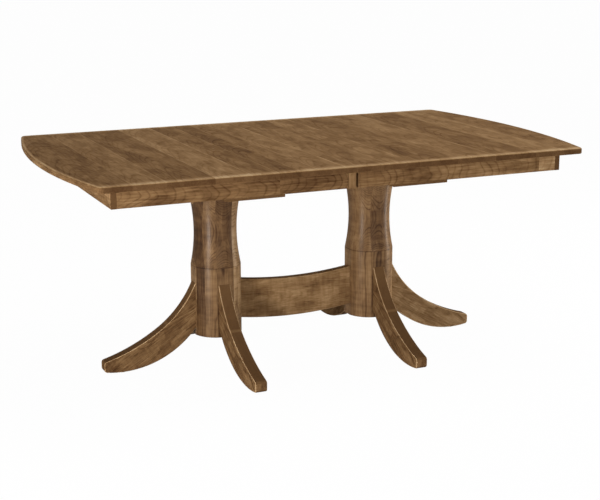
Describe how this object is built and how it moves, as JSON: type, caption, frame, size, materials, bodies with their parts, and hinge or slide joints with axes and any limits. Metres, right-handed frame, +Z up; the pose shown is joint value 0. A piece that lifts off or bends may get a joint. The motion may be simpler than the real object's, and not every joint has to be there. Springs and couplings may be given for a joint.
{
  "type": "double pedestal dining table",
  "caption": "Stained wood extension dining table: boat-shaped split top on geared slides, two turned pedestals with sabre legs and a bowed stretcher.",
  "frame": {"origin": "on the floor under the centre of the top", "axes": "+X along the table to the right as seen from its front, +Y to the back, +Z up"},
  "size_m": [1.8288, 1.067, 0.762],
  "materials": {
    "stained_wood": "brown stain under a satin clear coat",
    "plain_wood": "bare sanded hardwood",
    "zinc_steel": "zinc plated",
    "brass": "brass plated",
    "glide_plastic": "moulded brown nylon"
  },
  "bodies": {
    "base": {"left_column": "stained_wood", "right_column": "stained_wood", "left_outer_leg": "stained_wood", "left_front_leg": "stained_wood", "left_back_leg": "stained_wood", "right_outer_leg": "stained_wood", "right_front_leg": "stained_wood", "right_back_leg": "stained_wood", "stretcher": "stained_wood", "left_cleat": "stained_wood", "right_cleat": "stained_wood", "front_fixed_rail": "plain_wood", "back_fixed_rail": "plain_wood", "leg_dowels": "plain_wood", "stretcher_dowels": "plain_wood", "column_lag_screws": "zinc_steel", "cleat_screws": "zinc_steel", "foot_glides": "glide_plastic", "pinion_axles": "zinc_steel"},
    "left_half": {"left_top": "stained_wood", "left_end_apron": "stained_wood", "left_front_apron": "stained_wood", "left_back_apron": "stained_wood", "left_corner_blocks": "plain_wood", "left_glue_blocks": "plain_wood", "left_front_rail": "plain_wood", "left_back_rail": "plain_wood", "left_racks": "zinc_steel", "left_rail_screws": "zinc_steel", "alignment_pins": "brass", "lock_plates": "brass"},
    "right_half": {"right_top": "stained_wood", "right_end_apron": "stained_wood", "right_front_apron": "stained_wood", "right_back_apron": "stained_wood", "right_corner_blocks": "plain_wood", "right_glue_blocks": "plain_wood", "right_front_rail": "plain_wood", "right_back_rail": "plain_wood", "right_racks": "zinc_steel", "right_rail_screws": "zinc_steel", "front_joint_block": "stained_wood", "back_joint_block": "stained_wood", "front_joint_backer": "plain_wood", "back_joint_backer": "plain_wood", "lock_keepers": "brass"},
    "front_pinion": {"front_pinion": "zinc_steel"},
    "back_pinion": {"back_pinion": "zinc_steel"},
    "front_lock_lever": {"front_lock_lever": "brass"},
    "back_lock_lever": {"back_lock_lever": "brass"}
  },
  "joints": [
    {"name": "left_half_slide", "type": "slide", "parent": "base", "child": "left_half", "axis": [-1, 0, 0], "range_m": [0, 0.3048]},
    {"name": "right_half_slide", "type": "slide", "parent": "base", "child": "right_half", "axis": [1, 0, 0], "range_m": [0, 0.3048]},
    {"name": "front_pinion_spin", "type": "hinge", "parent": "base", "child": "front_pinion", "pos_m": [0, -0.23, 0.6904], "axis": [0, 0, -1], "range_deg": [0, 880]},
    {"name": "back_pinion_spin", "type": "hinge", "parent": "base", "child": "back_pinion", "pos_m": [0, 0.23, 0.6904], "axis": [0, 0, 1], "range_deg": [0, 880]},
    {"name": "front_lock_swing", "type": "hinge", "parent": "left_half", "child": "front_lock_lever", "pos_m": [-0.0367, -0.09, 0.73675], "axis": [0, 0, 1], "range_deg": [0, 90]},
    {"name": "back_lock_swing", "type": "hinge", "parent": "left_half", "child": "back_lock_lever", "pos_m": [-0.0367, 0.09, 0.73675], "axis": [0, 0, -1], "range_deg": [0, 90]}
  ],
  "couplings": [
    {"joint": "right_half_slide", "follows": "left_half_slide", "ratio": 1},
    {"joint": "front_pinion_spin", "follows": "left_half_slide", "rad_per_m": 50},
    {"joint": "back_pinion_spin", "follows": "left_half_slide", "rad_per_m": 50}
  ]
}
